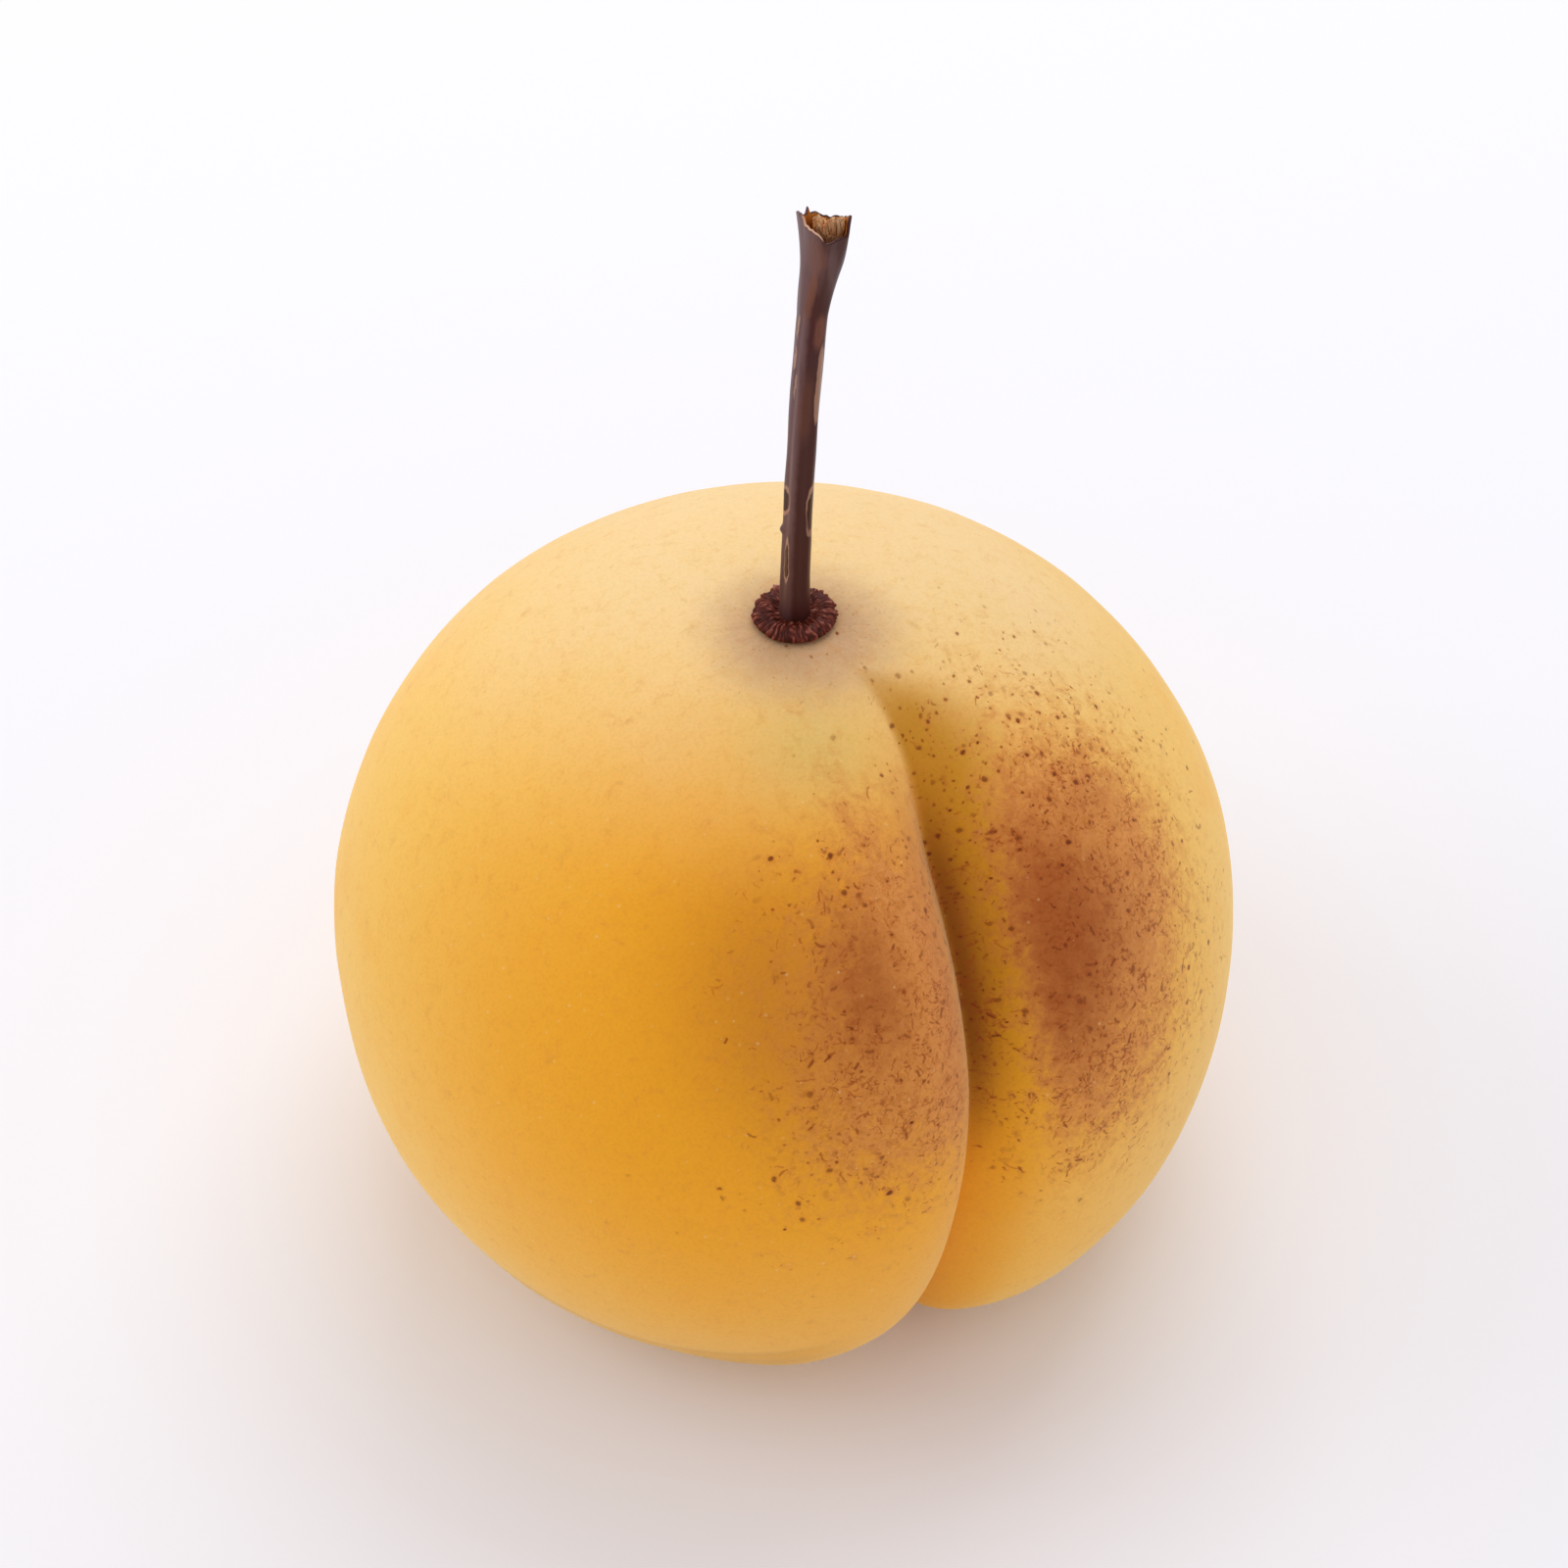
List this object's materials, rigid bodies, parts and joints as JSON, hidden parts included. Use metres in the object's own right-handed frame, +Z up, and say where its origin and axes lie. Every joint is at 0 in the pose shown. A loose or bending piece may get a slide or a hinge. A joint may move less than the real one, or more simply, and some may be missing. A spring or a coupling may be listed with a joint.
{
  "type": "apricot with stalk",
  "caption": "Ripe yellow apricot with a deep suture between two lobes, a freckled red blush and a dry brown stalk rising from a wrinkled collar, resting on a flat foot.",
  "frame": {"origin": "middle of the flat foot on the underside of the fruit", "axes": "+Z up along the fruit's growing axis towards the stalk, -Y towards the suture between the two lobes"},
  "size_m": [0.055, 0.0543, 0.0703],
  "materials": {
    "skin": "soft velvety fruit skin, golden yellow with a freckled red-brown blush on both sides of the suture",
    "bark": "smooth dark purplish brown bark, slightly waxy, with pale peeled edges and golden pith in the broken end",
    "collar": "dark maroon brown, dry and tightly wrinkled"
  },
  "bodies": {
    "root": {"fruit": "skin", "stalk": "bark", "stalk_collar": "collar"}
  },
  "joints": []
}
